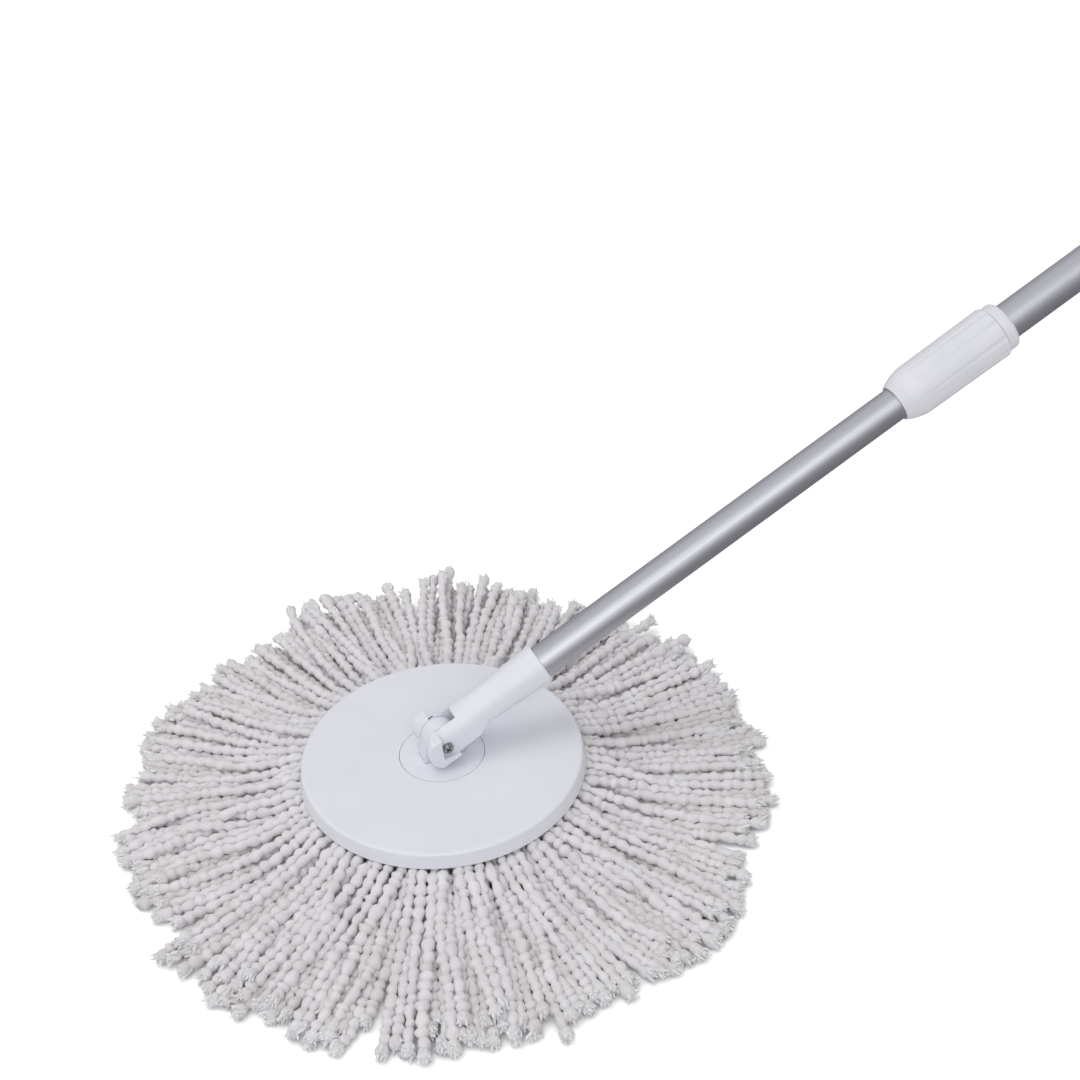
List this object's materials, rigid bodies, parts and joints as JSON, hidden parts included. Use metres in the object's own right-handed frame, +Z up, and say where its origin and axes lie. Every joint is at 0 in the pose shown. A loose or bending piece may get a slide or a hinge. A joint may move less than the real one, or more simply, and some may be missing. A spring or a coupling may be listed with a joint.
{
  "type": "spin mop",
  "caption": "Round yarn mop head on a free-spinning swivel plate, hinged to a telescopic twist-lock aluminium handle.",
  "frame": {"origin": "on the floor under the centre of the round head, where its spin axis meets the underside of the yarn", "axes": "+Z up along the head's spin axis, +X the way the handle leans, +Y along the hinge pin away from its screw head"},
  "size_m": [1.0818, 0.374, 0.4586],
  "materials": {
    "head_white": "satin white moulded polypropylene",
    "washer_natural": "natural acetal, smooth",
    "steel_plate": "zinc-plated pressed steel",
    "screw_steel": "zinc-plated steel",
    "tube_aluminium": "satin anodised drawn tube",
    "inner_plastic": "plain moulded plastic",
    "lock_white": "satin white moulded plastic",
    "rivet_aluminium": "plain aluminium",
    "grip_white": "fine-textured white moulded plastic",
    "ring_plastic": "white moulded plastic",
    "cotton_yarn": "twisted cotton yarn, matt"
  },
  "bodies": {
    "upper_handle": {"upper_tube": "tube_aluminium", "hand_grip": "grip_white", "end_cap": "lock_white", "lock_collet": "lock_white", "lock_rivets": "rivet_aluminium"},
    "lock": {"lock_sleeve": "lock_white"},
    "lower_handle": {"lower_tube": "tube_aluminium", "guide_bush": "inner_plastic", "tube_plug": "inner_plastic", "tube_screw": "screw_steel", "fork_socket": "head_white", "pivot_screw": "screw_steel", "pivot_nut": "screw_steel"},
    "swivel": {"swivel_puck": "head_white", "pivot_bush": "washer_natural", "retainer_plate": "steel_plate", "retainer_screws": "screw_steel"},
    "plate": {"head_plate": "head_white", "thrust_washer": "washer_natural"},
    "refill": {"refill_ring": "ring_plastic", "clamp_ring": "ring_plastic", "yarn_skirt": "cotton_yarn"}
  },
  "joints": [
    {"name": "lock_twist", "type": "hinge", "parent": "upper_handle", "child": "lock", "pos_m": [0.32369, 0, 0.1906], "axis": [0.9092, 0, 0.4163], "range_deg": [0, 120]},
    {"name": "telescope", "type": "slide", "parent": "upper_handle", "child": "lower_handle", "axis": [-0.9092, 0, -0.4163], "range_m": [-0.245, 0.22]},
    {"name": "handle_tilt", "type": "hinge", "parent": "lower_handle", "child": "swivel", "pos_m": [0, 0, 0.0424], "axis": [0, 1, 0], "range_deg": [-19.6, 150.4]},
    {"name": "head_spin", "type": "hinge", "parent": "swivel", "child": "plate", "pos_m": [0, 0, 0.03], "axis": [0, 0, 1], "continuous": true},
    {"name": "refill_release", "type": "slide", "parent": "plate", "child": "refill", "axis": [0, 0, -1], "range_m": [0, 0.05]}
  ]
}
